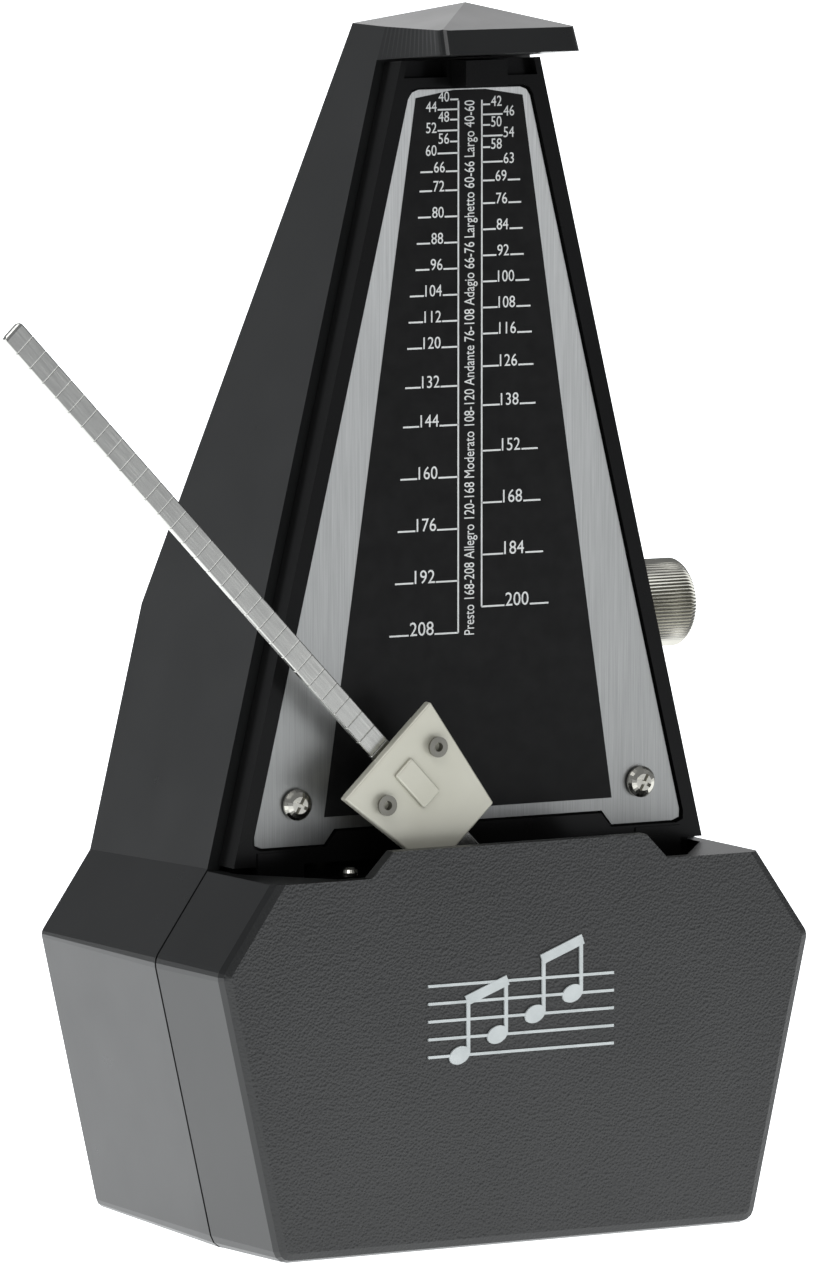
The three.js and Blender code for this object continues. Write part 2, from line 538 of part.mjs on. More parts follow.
const CLICK_PIVOT = { y: TRAIN_Y + 8, z: WINDING_Z + 3.2 };
function click() {
  const { y, z } = CLICK_PIVOT;
  const pawl = slabX([[y - 1.2, z + 1.2], [y - 3.2, z - 2.0], [y - 2.3, z - 2.4], [y + 1.2, z - 1.0], [y + 1.2, z + 1.2]],
    3.8, 5.0);
  return cut(union(pawl, cylinder('x', 1.5, 3.8, 5.0, [y, z], 16)), cylinder('x', 0.8, 3, 6, [y, z], 12));
}
piece('click', click(), steel);
piece('click_rivet', union(cylinder('x', 0.5, 3.0, 5.7, [CLICK_PIVOT.y, CLICK_PIVOT.z], 12),
  cylinder('x', 1.2, 3.0, 3.5, [CLICK_PIVOT.y, CLICK_PIVOT.z], 12)), steel);

// A bent strip, as thick as its ribbon, that follows a list of [y, z] points.
function strip(points, thick, x0, x1) {
  const side = (sign) => points.map(([y, z], i) => {
    const before = points[Math.max(0, i - 1)];
    const after = points[Math.min(points.length - 1, i + 1)];
    const run = new THREE.Vector2(after[0] - before[0], after[1] - before[1]).normalize();
    return [y - sign * run.y * thick / 2, z + sign * run.x * thick / 2];
  });
  return slabX([...side(1), ...side(-1).reverse()], x0, x1);
}

function arcPoints(centre, radius, fromDeg, toDeg, count) {
  return Array.from({ length: count + 1 }, (_, i) => {
    const angle = THREE.MathUtils.degToRad(lerp(fromDeg, toDeg, i / count));
    return [centre[0] + radius * Math.cos(angle), centre[1] + radius * Math.sin(angle)];
  });
}
piece('click_spring', strip(arcPoints([TRAIN_Y, WINDING_Z], 11.2, -20, 22, 6), 0.4, 3.9, 4.9), blueSteel);

function mainspring() {
  const turns = 4.5;
  const steps = 90;
  const points = Array.from({ length: steps + 1 }, (_, i) => {
    const t = i / steps;
    const angle = t * turns * 2 * Math.PI;
    const r = lerp(2.3, 11.4, Math.pow(t, 1.15));
    return [TRAIN_Y + r * Math.cos(angle), WINDING_Z + r * Math.sin(angle)];
  });
  return strip(points, 0.4, 9.6, 14.6);
}
piece('mainspring', mainspring(), blueSteel);

// ---- Pendulum: built upright on its pivot, then leaned to the left end of its swing ----
const pendulum = new THREE.Group();
pendulum.position.set(0, PIVOT.y, PIVOT.z);
pendulum.rotation.y = THREE.MathUtils.degToRad(-SWING_DEG);
assembly.add(pendulum);
const inPendulum = (y) => y - PIVOT.y;

function pendulumRod() {
  const bar = box(-ROD.halfWidth, ROD.halfWidth, -ROD.halfThick, ROD.halfThick, ROD.bottom + 1, ROD.top);
  return cut(bar, cylinder('y', 1.2, -2, 2, [0, 0], 16));
}

function counterweight() {
  const disc = cylinder('y', BOB.radius, -BOB.halfThick, BOB.halfThick, [0, BOB.at], 32);
  const slotHalf = ROD.halfWidth + GAP;
  return cut(disc, box(-slotHalf, slotHalf, -ROD.halfThick - GAP, ROD.halfThick + GAP, BOB.at - 20, BOB.at + 20));
}

piece('pendulum_rod', pendulumRod(), nickel, pendulum);
piece('counterweight', counterweight(), steel, pendulum);
piece('pendulum_hub', cut(cylinder('y', 3, 0.8, 4, [0, 0]), cylinder('y', 1.2, 0, 5, [0, 0], 16)), brass, pendulum);
piece('pendulum_arbor', cylinder('y', 0.9, -1.4, inPendulum(43.6), [0, 0], 16), steel, pendulum);
// Pallets: small flags on the arbor, one over each side of the crown wheel and square to each other.
[['front', TRAIN_Y - CROWN.radius, 140], ['rear', TRAIN_Y + CROWN.radius, -95]].forEach(([place, y, deg]) => {
  const flag = box(1.2, 2.3, inPendulum(y) - 1.3, inPendulum(y) + 1.3, -0.3, 0.3);
  const ring = cylinder('y', 1.5, inPendulum(y) - 1.3, inPendulum(y) + 1.3, [0, 0], 16);
  const pallet = cut(union(ring, flag), cylinder('y', 1.2, inPendulum(y) - 3, inPendulum(y) + 3, [0, 0], 16));
  piece(`pallet_${place}`, pallet.rotateY(THREE.MathUtils.degToRad(deg)), steel, pendulum);
});

// ---- Sliding weight ----
const WEIGHT_FRONT = { y0: -3.0, y1: -1.0, margin: 0 };
const WEIGHT_BACK = { y0: 1.4, y1: 2.6, margin: 1.8 };

// The plate's trapezoid, pulled in all round by a margin.
function weightOutline(margin) {
  const low = WEIGHT.low + margin;
  const high = WEIGHT.high - margin;
  return [
    [-WEIGHT.lowWidth + margin, low], [WEIGHT.lowWidth - margin, low],
    [WEIGHT.highWidth - margin, high], [-WEIGHT.highWidth + margin, high],
  ];
}

function weightPlate({ y0, y1, margin }) {
  const holes = [-1, 1].map((side) => cylinder('y', 1.25, y0 - 1, y1 + 1, [side * WEIGHT.rivetX, WEIGHT.rivetAt], 20));
  return cut(slabY(weightOutline(margin), y0, y1), ...holes);
}

// A hollow rivet: flange on the front, tube through both plates.
function ringRivet(side) {
  const profile = [[0.6, -3.4], [1.35, -3.4], [1.35, -3.05], [0.9, -2.75], [0.9, 3.0], [0.6, 3.0], [0.6, -3.4]];
  const geometry = new THREE.LatheGeometry(profile.map(([r, y]) => new THREE.Vector2(r, y)), 20);
  return geometry.translate(side * WEIGHT.rivetX, 0, WEIGHT.rivetAt);
}

function gripSpring() {
  const half = 3.4;
  return box(-half, half, 0.8, 1.1, WEIGHT.low + 1.5, WEIGHT.high - 1.5);
}

piece('weight_front_plate', weightPlate(WEIGHT_FRONT), weightEnamel, pendulum);
piece('weight_back_plate', weightPlate(WEIGHT_BACK), weightEnamel, pendulum);
piece('weight_rivet_left', ringRivet(-1), nickel, pendulum);
piece('weight_rivet_right', ringRivet(1), nickel, pendulum);
piece('weight_grip_spring', gripSpring(), blueSteel, pendulum);

export default metronome;
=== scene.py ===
"""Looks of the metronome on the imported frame: materials, print, knurling, rounded edges, camera, light."""
import json
import math

import bmesh
import bpy
from mathutils import Matrix, Vector


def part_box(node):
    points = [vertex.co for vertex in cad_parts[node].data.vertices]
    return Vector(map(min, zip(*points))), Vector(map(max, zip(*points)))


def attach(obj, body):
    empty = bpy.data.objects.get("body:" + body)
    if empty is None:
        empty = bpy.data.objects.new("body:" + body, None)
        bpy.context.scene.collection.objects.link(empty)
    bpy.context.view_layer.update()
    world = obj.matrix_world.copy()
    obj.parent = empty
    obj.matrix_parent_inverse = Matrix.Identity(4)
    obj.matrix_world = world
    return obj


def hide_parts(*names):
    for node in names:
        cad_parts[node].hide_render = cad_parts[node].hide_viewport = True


MM = 0.001

# The beats a metronome scale shows: steps of 2, 3, 4, 6 and 8, taken in turn by the left and the right side.
BEATS = [*range(40, 60, 2), *range(60, 72, 3), *range(72, 120, 4), *range(120, 144, 6), *range(144, 209, 8)]
TEMPO_WORDS = " ".join((
    "Presto 168-208", "Allegro 120-168", "Moderato 108-120", "Andante 76-108", "Adagio 66-76",
    "Larghetto 60-66", "Largo 40-60",
))

# Print on the scale plate, in mm. Heights are above the plate's lower edge, widths from its middle.
TEMPO_SPAN = (26.0, 95.2)
FIELD = {"top": 95.7, "low": 3.5, "top_half": 7.95, "low_half": 21.5, "gable": 96.6}
GABLE_HALF = 2.4
RULES = {-1: 1.62, 1: 1.87}
RULE_TOP = 95.2
LINE = 0.22
STAGGERED_MARKS = 6
INK_THICK = 0.02
FIELD_GAP = 0.004
MARK_GAP = 0.026

# The lean of the pendulum at rest, and the knob's ridges and the rod's grooves in mm.
SWING = math.radians(43.5)
KNOB_RIDGES = 72
ROD_PITCH = 2.65
ROD_GROOVE = 0.05

# The camera: degrees, metres, millimetres for the target.
CAMERA_AZIMUTH = -29.63
CAMERA_ELEVATION = 6.06
CAMERA_DISTANCE = 1.5077
CAMERA_TARGET = (0, 3.4, 77.1)
CAMERA_LENS = 327.4
CAMERA_SHIFT = (-0.0033, 0.0028)

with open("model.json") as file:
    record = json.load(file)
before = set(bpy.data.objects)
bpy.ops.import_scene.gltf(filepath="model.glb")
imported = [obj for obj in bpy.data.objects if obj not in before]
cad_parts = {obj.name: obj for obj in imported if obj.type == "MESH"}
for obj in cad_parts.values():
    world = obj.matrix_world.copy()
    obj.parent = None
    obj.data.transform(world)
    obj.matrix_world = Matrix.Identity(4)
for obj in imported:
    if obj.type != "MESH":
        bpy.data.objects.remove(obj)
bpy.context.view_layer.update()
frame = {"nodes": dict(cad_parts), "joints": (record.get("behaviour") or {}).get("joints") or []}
nodes = frame["nodes"]


# ---- Node material helpers ----
class Look:
    """A Principled material and short calls that add nodes to it."""

    def __init__(self, name, color, roughness, metallic=0.0, specular=0.5):
        self.material = bpy.data.materials.new(name)
        self.material.use_nodes = True
        self.tree = self.material.node_tree
        self.shader = self.tree.nodes["Principled BSDF"]
        self.shader.inputs["Base Color"].default_value = (*color, 1)
        self.shader.inputs["Roughness"].default_value = roughness
        self.shader.inputs["Metallic"].default_value = metallic
        self.shader.inputs["Specular IOR Level"].default_value = specular
        self.place = self.node("ShaderNodeTexCoord").outputs["Object"]

    def node(self, kind, **settings):
        made = self.tree.nodes.new(kind)
        for key, value in settings.items():
            setattr(made, key, value)
        return made

    def link(self, source, target):
        self.tree.links.new(source, target)

    def stretched(self, scale, turn=(0, 0, 0)):
        mapping = self.node("ShaderNodeMapping")
        mapping.inputs["Scale"].default_value = scale
        mapping.inputs["Rotation"].default_value = turn
        self.link(self.place, mapping.inputs["Vector"])
        return mapping.outputs["Vector"]

    def noise(self, scale, detail=4, vector=None, roughness=0.5):
        made = self.node("ShaderNodeTexNoise")
        made.inputs["Scale"].default_value = scale
        made.inputs["Detail"].default_value = detail
        made.inputs["Roughness"].default_value = roughness
        self.link(vector or self.place, made.inputs["Vector"])
        return made.outputs["Fac"]

    def ramp(self, source, stops):
        made = self.node("ShaderNodeValToRGB")
        ramp = made.color_ramp
        while len(ramp.elements) < len(stops):
            ramp.elements.new(0.5)
        for element, (position, color) in zip(ramp.elements, stops):
            element.position = position
            element.color = (*color, 1)
        self.link(source, made.inputs["Fac"])
        return made.outputs["Color"]

    def span(self, source, low, high):
        made = self.node("ShaderNodeMapRange")
        made.inputs["To Min"].default_value = low
        made.inputs["To Max"].default_value = high
        self.link(source, made.inputs["Value"])
        return made.outputs["Result"]

    def bump(self, source, strength, distance, under=None):
        made = self.node("ShaderNodeBump")
        made.inputs["Strength"].default_value = strength
        made.inputs["Distance"].default_value = distance
        self.link(source, made.inputs["Height"])
        if under is not None:
            self.link(under, made.inputs["Normal"])
        return made.outputs["Normal"]

    def color_from(self, source):
        self.link(source, self.shader.inputs["Base Color"])

    def roughness_from(self, source):
        self.link(source, self.shader.inputs["Roughness"])

    def normal_from(self, source):
        self.link(source, self.shader.inputs["Normal"])


def grained_plastic(name, dark, light, roughness, grain, depth, front_only=False):
    """Moulded plastic with a leather grain, slight sheen changes and soft mottling."""
    look = Look(name, dark, roughness)
    cells = look.node("ShaderNodeTexVoronoi", feature="SMOOTH_F1")
    cells.inputs["Scale"].default_value = grain
    cells.inputs["Smoothness"].default_value = 0.5
    warp = look.node("ShaderNodeVectorMath", operation="MULTIPLY_ADD")
    warp.inputs[1].default_value = (0.35 / grain,) * 3
    look.link(look.noise(grain * 0.8, 2), warp.inputs[0])
    look.link(look.place, warp.inputs[2])
    look.link(warp.outputs["Vector"], cells.inputs["Vector"])
    pebbles = cells.outputs["Distance"]
    if front_only:
        normal = look.node("ShaderNodeNewGeometry").outputs["Normal"]
        facing = look.node("ShaderNodeVectorMath", operation="DOT_PRODUCT")
        facing.inputs[1].default_value = (0, -1, 0)
        look.link(normal, facing.inputs[0])
        mask = look.node("ShaderNodeMapRange")
        mask.inputs["From Min"].default_value = 0.75
        mask.inputs["From Max"].default_value = 0.98
        look.link(facing.outputs["Value"], mask.inputs["Value"])
        masked = look.node("ShaderNodeMath", operation="MULTIPLY")
        look.link(pebbles, masked.inputs[0])
        look.link(mask.outputs["Result"], masked.inputs[1])
        pebbles = masked.outputs["Value"]
    raised = look.bump(pebbles, 0.7, depth)
    look.normal_from(look.bump(look.noise(3000, 3), 0.12, 0.00002, raised))
    look.color_from(look.ramp(look.noise(60, 5), [(0.3, dark), (0.7, light)]))
    look.roughness_from(look.span(look.noise(35, 4), roughness - 0.04, roughness + 0.05))
    return look.material


def smooth_plastic(name, dark, light, roughness, specular=0.5):
    """Smooth moulded plastic with faint flow marks."""
    look = Look(name, dark, roughness, specular=specular)
    look.normal_from(look.bump(look.noise(900, 3), 0.12, 0.00002))
    look.color_from(look.ramp(look.noise(40, 4), [(0.3, dark), (0.7, light)]))
    look.roughness_from(look.span(look.noise(120, 4), roughness - 0.06, roughness + 0.06))
    return look.material


def brushed_metal(name, dark, light, roughness, scale, painted_top_light_gain=1.0):
    """Metal with fine brush lines along the stretched noise, with a painted highlight that makes the colour
    paler higher up the case by the gain.
    """
    look = Look(name, dark, roughness, 1.0)
    lines = look.noise(1, 6, look.stretched(scale), 0.65)
    split = look.node("ShaderNodeSeparateXYZ")
    look.link(look.place, split.inputs[0])
    # Painted highlight: the colour is scaled from 1 at 55 mm up to the gain at 150 mm, brighter towards the
    # top as if lit from above.
    height = look.node("ShaderNodeMapRange")
    height.inputs["From Min"].default_value = 0.055
    height.inputs["From Max"].default_value = 0.15
    height.inputs["To Min"].default_value = 1.0
    height.inputs["To Max"].default_value = painted_top_light_gain
    look.link(split.outputs["Z"], height.inputs["Value"])
    painted_top_light = look.node("ShaderNodeVectorMath", operation="SCALE")
    look.link(look.ramp(lines, [(0.25, dark), (0.75, light)]), painted_top_light.inputs[0])
    look.link(height.outputs["Result"], painted_top_light.inputs["Scale"])
    look.color_from(painted_top_light.outputs["Vector"])
    look.roughness_from(look.span(lines, roughness - 0.08, roughness + 0.1))
    look.normal_from(look.bump(lines, 0.18, 0.00003))
    return look.material


def plated_metal(name, dark, light, roughness):
    """Plated metal with small changes of tone and tiny handling marks."""
    look = Look(name, dark, roughness, 1.0)
    look.color_from(look.ramp(look.noise(150, 4), [(0.3, dark), (0.7, light)]))
    look.roughness_from(look.span(look.noise(700, 4), roughness - 0.05, roughness + 0.1))
    look.normal_from(look.bump(look.noise(2500, 2), 0.06, 0.00002))
    return look.material


def enamel(name, dark, light, roughness, metallic=0.0):
    """Smooth paint with a trace of orange peel."""
    look = Look(name, dark, roughness, metallic)
    look.color_from(look.ramp(look.noise(90, 5), [(0.3, dark), (0.7, light)]))
    look.roughness_from(look.span(look.noise(300, 3), roughness - 0.05, roughness + 0.07))
    look.normal_from(look.bump(look.noise(1200, 2), 0.08, 0.00002))
    return look.material


def print_ink(name, dark, light, roughness):
    """Screen-printed ink with a slightly uneven film."""
    look = Look(name, dark, roughness, specular=0.12)
    look.color_from(look.ramp(look.noise(400, 4), [(0.3, dark), (0.7, light)]))
    look.roughness_from(look.span(look.noise(800, 3), roughness - 0.06, roughness + 0.06))
    return look.material


def floor_paper():
    """White sweep that glows to look evenly white, with a weaker glow on the metronome from in front."""
    look = Look("floor_paper", (0.86, 0.87, 0.88), 0.8, specular=0.1)
    look.color_from(look.ramp(look.noise(8, 3), [(0.3, (0.85, 0.86, 0.87)), (0.7, (0.88, 0.89, 0.9))]))
    split = look.node("ShaderNodeSeparateXYZ")
    look.link(look.place, split.inputs[0])
    fade = look.node("ShaderNodeMapRange", interpolation_type="SMOOTHSTEP")
    fade.inputs["From Min"].default_value = -0.6
    fade.inputs["From Max"].default_value = -0.08
    look.link(split.outputs["Y"], fade.inputs["Value"])
    seen = look.node("ShaderNodeMath", operation="MAXIMUM")
    look.link(fade.outputs["Result"], seen.inputs[0])
    look.link(look.node("ShaderNodeLightPath").outputs["Is Camera Ray"], seen.inputs[1])
    glow = look.ramp(seen.outputs["Value"], [(0.0, (0.12, 0.12, 0.13)), (1.0, (0.97, 0.99, 1.0))])
    look.link(glow, look.shader.inputs["Emission Color"])
    look.shader.inputs["Emission Strength"].default_value = 1.5
    return look.material


CASE = smooth_plastic("case_black", (0.007, 0.0075, 0.0075), (0.011, 0.0115, 0.0115), 0.3)
COVER = grained_plastic("cover_black", (0.008, 0.0085, 0.0085), (0.013, 0.0135, 0.0135), 0.34, 2900, 0.00007,
                        front_only=True)
FRAME_BLACK = smooth_plastic("frame_black", (0.003, 0.003, 0.003), (0.005, 0.005, 0.005), 0.22, 0.14)
# The plate's colour carries a painted highlight, 2.1 times brighter at the top of the case than at the bottom.
PLATE = brushed_metal("plate_aluminium", (0.24, 0.244, 0.24), (0.36, 0.364, 0.36), 0.36, (9000, 9000, 90),
                      painted_top_light_gain=2.1)
NICKEL = plated_metal("nickel", (0.4, 0.39, 0.35), (0.54, 0.53, 0.48), 0.17)
RIVET = plated_metal("rivet", (0.16, 0.155, 0.135), (0.24, 0.235, 0.21), 0.35)
ROD_STEEL = brushed_metal("rod_steel", (0.42, 0.42, 0.4), (0.6, 0.6, 0.57), 0.24, (5000, 5000, 200))
WEIGHT_PAINT = enamel("weight_enamel", (0.5, 0.49, 0.41), (0.56, 0.55, 0.47), 0.3, 0.2)
STEEL = brushed_metal("steel", (0.38, 0.39, 0.41), (0.6, 0.61, 0.62), 0.3, (3000, 300, 3000))
BRASS = brushed_metal("brass", (0.5, 0.36, 0.13), (0.74, 0.56, 0.25), 0.28, (300, 3000, 3000))
BLUE_STEEL = plated_metal("blue_steel", (0.06, 0.09, 0.2), (0.12, 0.16, 0.3), 0.25)
RUBBER = grained_plastic("rubber", (0.012, 0.012, 0.012), (0.02, 0.02, 0.02), 0.75, 1800, 0.00008)
BASE_PLASTIC = grained_plastic("base_plastic", (0.02, 0.02, 0.021), (0.028, 0.028, 0.029), 0.5, 1500, 0.00005)
INK_BLACK = print_ink("ink_black", (0.005, 0.005, 0.005), (0.008, 0.008, 0.008), 0.34)
INK_WHITE = print_ink("ink_white", (0.6, 0.61, 0.6), (0.68, 0.69, 0.68), 0.5)
ORNAMENT_GREY = print_ink("ornament_grey", (0.46, 0.49, 0.49), (0.54, 0.57, 0.57), 0.45)


# ---- CAD nodes: materials and rounded edges ----
FINISH = {
    CASE: ("rear_shell",),
    COVER: ("front_cover",),
    FRAME_BLACK: ("scale_frame", "rod_clip"),
    PLATE: ("scale_plate",),
    NICKEL: ("scale_screw_left", "scale_screw_right", "slot_screw", "knob_bush"),
    RIVET: ("weight_rivet_left", "weight_rivet_right"),
    BASE_PLASTIC: ("base_plate",),
    RUBBER: ("rubber_pad",),
    BLUE_STEEL: ("mainspring", "click_spring", "weight_grip_spring"),
    BRASS: ("great_wheel", "intermediate_wheel", "escape_wheel", "movement_plate_left",
            "movement_plate_right", "front_cock", "rear_cock", "escape_potence", "pendulum_hub"),
    WEIGHT_PAINT: ("weight_back_plate",),
}
ROUNDED = {
    "rear_shell": 0.9, "front_cover": 0.5, "scale_frame": 0.35, "rod_clip": 0.3, "scale_plate": 0.1,
    "scale_screw_left": 0.12, "scale_screw_right": 0.12, "slot_screw": 0.2, "base_plate": 0.3,
    "rubber_pad": 0.15, "knob_bush": 0.15, "weight_rivet_left": 0.1, "weight_rivet_right": 0.1,
    "weight_back_plate": 0.3, "counterweight": 0.6,
}


def paint(obj, material):
    obj.data.materials.clear()
    obj.data.materials.append(material)


def round_edges(obj, width, segments=3, angle=20):
    bevel = obj.modifiers.new("rounded_edges", "BEVEL")
    bevel.width = width * MM
    bevel.segments = segments
    bevel.limit_method = "ANGLE"
    bevel.angle_limit = math.radians(angle)
    bevel.harden_normals = True
    bevel.miter_outer = "MITER_ARC"


def dress_cad_nodes():
    finish_of = {name: look for look, names in FINISH.items() for name in names}
    for name, obj in nodes.items():
        paint(obj, finish_of.get(name, STEEL))
        if name in ROUNDED:
            round_edges(obj, ROUNDED[name])


# ---- Mesh helpers ----
def mesh_object(name, bm, material, smooth=None):
    mesh = bpy.data.meshes.new(name)
    bmesh.ops.recalc_face_normals(bm, faces=bm.faces)
    bm.to_mesh(mesh)
    bm.free()
    obj = bpy.data.objects.new(name, mesh)
    bpy.context.scene.collection.objects.link(obj)
    mesh.materials.append(material)
    if smooth is not None:
        for polygon in mesh.polygons:
            polygon.use_smooth = True
        mesh.set_sharp_from_angle(angle=math.radians(smooth))
    return obj


def bar_between(bm, start, end, width, y, thick):
    """A flat strip in the plane of the plate, from start to end, both (x, z)."""
    a, b = Vector(start), Vector(end)
    side = Vector((-(b - a).y, (b - a).x)).normalized() * width / 2
    corners = [a + side, b + side, b - side, a - side]
    prism(bm, corners, y, y - thick)


def prism(bm, outline, y0, y1):
    """A closed solid from an outline of (x, z) points, from depth y0 to y1."""
    back = [bm.verts.new((x, y0, z)) for x, z in outline]
    front = [bm.verts.new((x, y1, z)) for x, z in outline]
    bm.faces.new(back)
    bm.faces.new(list(reversed(front)))
    count = len(outline)
    for i in range(count):
        j = (i + 1) % count
        bm.faces.new((back[j], back[i], front[i], front[j]))


def skin(bm, loops):
    """Side faces between successive closed loops, with a cap on the first loop and on the last."""
    count = len(loops[0])
    for a, b in zip(loops, loops[1:]):
        for i in range(count):
            j = (i + 1) % count
            bm.faces.new((a[i], a[j], b[j], b[i]))
    bm.faces.new(loops[0])
    bm.faces.new(loops[-1])


def lettering(text, digit_height, y, fit_width=None, stretch=1.0):
    """Flat raised lettering as a mesh facing the front: left end and baseline at the origin, at depth y."""
    curve = bpy.data.curves.new(text, "FONT")
    curve.body = text
    curve.size = digit_height * MM / 0.7
    curve.extrude = INK_THICK * MM / 2
    curve.resolution_u = 3
    temp = bpy.data.objects.new(text, curve)
    bpy.context.scene.collection.objects.link(temp)
    mesh = bpy.data.meshes.new_from_object(temp.evaluated_get(bpy.context.evaluated_depsgraph_get()))
    bpy.data.objects.remove(temp)
    xs = [vertex.co.x for vertex in mesh.vertices]
    left, width = min(xs), max(xs) - min(xs)
    if fit_width is not None:
        stretch = fit_width * MM / width
    flat = Matrix.Diagonal((stretch, 1, 1, 1)) @ Matrix.Translation((-left, 0, 0))
    upright = Matrix.Rotation(math.pi / 2, 4, "X")
    mesh.transform(Matrix.Translation((0, y - INK_THICK * MM / 2, 0)) @ upright @ flat)
    return mesh, width * stretch


def moved(mesh, x, z, turn=0.0):
    mesh.transform(Matrix.Translation((x, 0, z)) @ Matrix.Rotation(-turn, 4, "Y"))
    return mesh


def joined(name, meshes, material):
    bm = bmesh.new()
    for mesh in meshes:
        bm.from_mesh(mesh)
    return mesh_object(name, bm, material)


# ---- Print on the scale plate ----
plate_low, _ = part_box("scale_plate")
PLATE_Y = plate_low.y
PLATE_Z = plate_low.z
MARK_Y = PLATE_Y - MARK_GAP * MM


def plate_z(height):
    return PLATE_Z + height * MM


def field_half(height):
    t = (height - FIELD["low"]) / (FIELD["top"] - FIELD["low"])
    return (FIELD["low_half"] + (FIELD["top_half"] - FIELD["low_half"]) * t) * MM


def black_field():
    bm = bmesh.new()
    low, top = FIELD["low"], FIELD["top"]
    outline = [
        (-field_half(low), plate_z(low)), (field_half(low), plate_z(low)),
        (field_half(top), plate_z(top)),
        (GABLE_HALF * MM, plate_z(FIELD["gable"])), (-GABLE_HALF * MM, plate_z(FIELD["gable"])),
        (-field_half(top), plate_z(top)),
    ]
    prism(bm, outline, PLATE_Y - FIELD_GAP * MM, PLATE_Y - (FIELD_GAP + INK_THICK) * MM)
    return mesh_object("scale_field", bm, INK_BLACK)


def beat_height(beat):
    """Height over the plate's low edge in mm: evenly spaced from 208 up to 72, then closing up a little."""
    slow = max(0, 72 - beat)
    return 26.05 + 0.4215 * (208 - max(beat, 72)) + 0.42 * slow - 0.0017 * slow * slow


def beat_marks():
    """White rules, ticks and numbers. Ticks lengthen down the scale, where a second one follows the number."""
    marks = bmesh.new()
    texts = []
    for side, beats in ((-1, BEATS[0::2]), (1, BEATS[1::2])):
        rule = side * RULES[side] * MM
        heights = [beat_height(beat) + (0.15 if side > 0 else 0.3) for beat in beats]
        print_line(marks, (rule, plate_z(heights[-1])), (rule, plate_z(RULE_TOP)))
        for index, (beat, height) in enumerate(zip(beats, heights)):
            add_beat(marks, texts, side, index, beat, height)
    white = bpy.data.meshes.new("beat_ticks")
    marks.to_mesh(white)
    marks.free()
    return joined("scale_marks", [white, *texts], INK_WHITE)


def print_line(marks, start, end):
    bar_between(marks, start, end, LINE * MM, MARK_Y, INK_THICK * MM)


def add_beat(marks, texts, side, index, beat, height):
    """One tick, its number standing on the tick's level and, lower down, a second tick outside the number."""
    z = plate_z(height)
    down = (95 - height) / 69
    rule = RULES[side]
    staggered = index < STAGGERED_MARKS
    inner = (1.05, 2.9)[index % 2] + 0.2 * down if staggered else 1.45 + 1.9 * down
    text, width = lettering(str(beat), 1.34 + 0.45 * down, MARK_Y, stretch=0.86 + 0.1 * down)
    start = rule + inner + 0.32
    end = start + width / MM
    left = start if side > 0 else -end
    texts.append(moved(text, left * MM, z - (0.25 if staggered else 0.1) * MM))
    print_line(marks, (side * rule * MM, z), (side * (start - 0.15) * MM, z))
    if not staggered:
        outer = end + 0.2
        print_line(marks, (side * outer * MM, z), (side * (outer + 1.65 + 1.2 * down) * MM, z))


def tempo_words():
    low, high = TEMPO_SPAN
    words, _ = lettering(TEMPO_WORDS, 1.5, MARK_Y, fit_width=high - low)
    return joined("tempo_words", [moved(words, 0.75 * MM, plate_z(low), math.pi / 2)], INK_WHITE)


# ---- Knob ----
def knurled_knob():
    """Straight-knurled cylinder with a plain chamfered rim and a dished end."""
    low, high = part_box("winding_knob")
    centre = (low + high) / 2
    radius = (high.y - low.y) / 2
    length = high.x - low.x
    # (distance from the near or far end, depth of a groove, depth of a crest), in mm
    near = [(0.0, 1.0, 1.0), (0.25, 0.75, 0.55), (0.7, 0.42, 0.0)]
    far = [(1.0, 0.42, 0.0), (0.55, 0.6, 0.3), (0.2, 0.7, 0.7), (0.0, 1.1, 1.1), (0.35, 2.0, 2.0)]
    rings = [(along * MM, groove, crest) for along, groove, crest in near]
    rings += [(length - along * MM, groove, crest) for along, groove, crest in far]
    bm = bmesh.new()
    loops = []
    count = KNOB_RIDGES * 4
    for along, groove, crest in rings:
        loop = []
        for i in range(count):
            angle = 2 * math.pi * i / count
            lift = (0.0, 0.7, 1.0, 0.7)[i % 4]
            r = radius - (groove + (crest - groove) * lift) * MM
            y = centre.y + r * math.cos(angle)
            loop.append(bm.verts.new((low.x + along, y, centre.z + r * math.sin(angle))))
        loops.append(loop)
    skin(bm, loops)
    knob = mesh_object("knurled_knob", bm, NICKEL, smooth=35)
    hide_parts("winding_knob")
    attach(knob, "winding_work")


# ---- Pendulum pieces, built upright about the pivot and leaned like the CAD ones ----
pivot = next(joint["pos_m"] for joint in frame["joints"] if joint["name"] == "pendulum_swing")
LEAN = Matrix.Translation(Vector(pivot)) @ Matrix.Rotation(-SWING, 4, "Y")


def notched_rod():
    """Flat rod with fine, evenly spaced grooves across it and a rounded tip."""
    half, thick, top, bottom = 1.6 * MM, 0.5 * MM, 101.5 * MM, -34 * MM
    groove = ROD_GROOVE * MM
    stations = [(bottom, half, thick)]
    z = 22 * MM
    while z < top - 2 * MM:
        stations += [(z - 0.1 * MM, half, thick), (z, half - groove, thick - groove),
                     (z + 0.1 * MM, half, thick)]
        z += ROD_PITCH * MM
    stations += [(top - 0.5 * MM, half, thick), (top - 0.15 * MM, half - 0.12 * MM, thick - 0.1 * MM),
                 (top, half - 0.45 * MM, thick - 0.25 * MM)]
    soft = 0.14 * MM
    bm = bmesh.new()
    loops = []
    for z, w, t in stations:
        ring = [(-w + soft, -t), (w - soft, -t), (w, -t + soft), (w, t - soft), (w - soft, t), (-w + soft, t),
                (-w, t - soft), (-w, -t + soft)]
        loops.append([bm.verts.new((x, y, z)) for x, y in ring])
    skin(bm, loops)
    rod = mesh_object("notched_rod", bm, ROD_STEEL, smooth=8)
    rod.matrix_world = LEAN
    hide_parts("pendulum_rod")
    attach(rod, "pendulum")


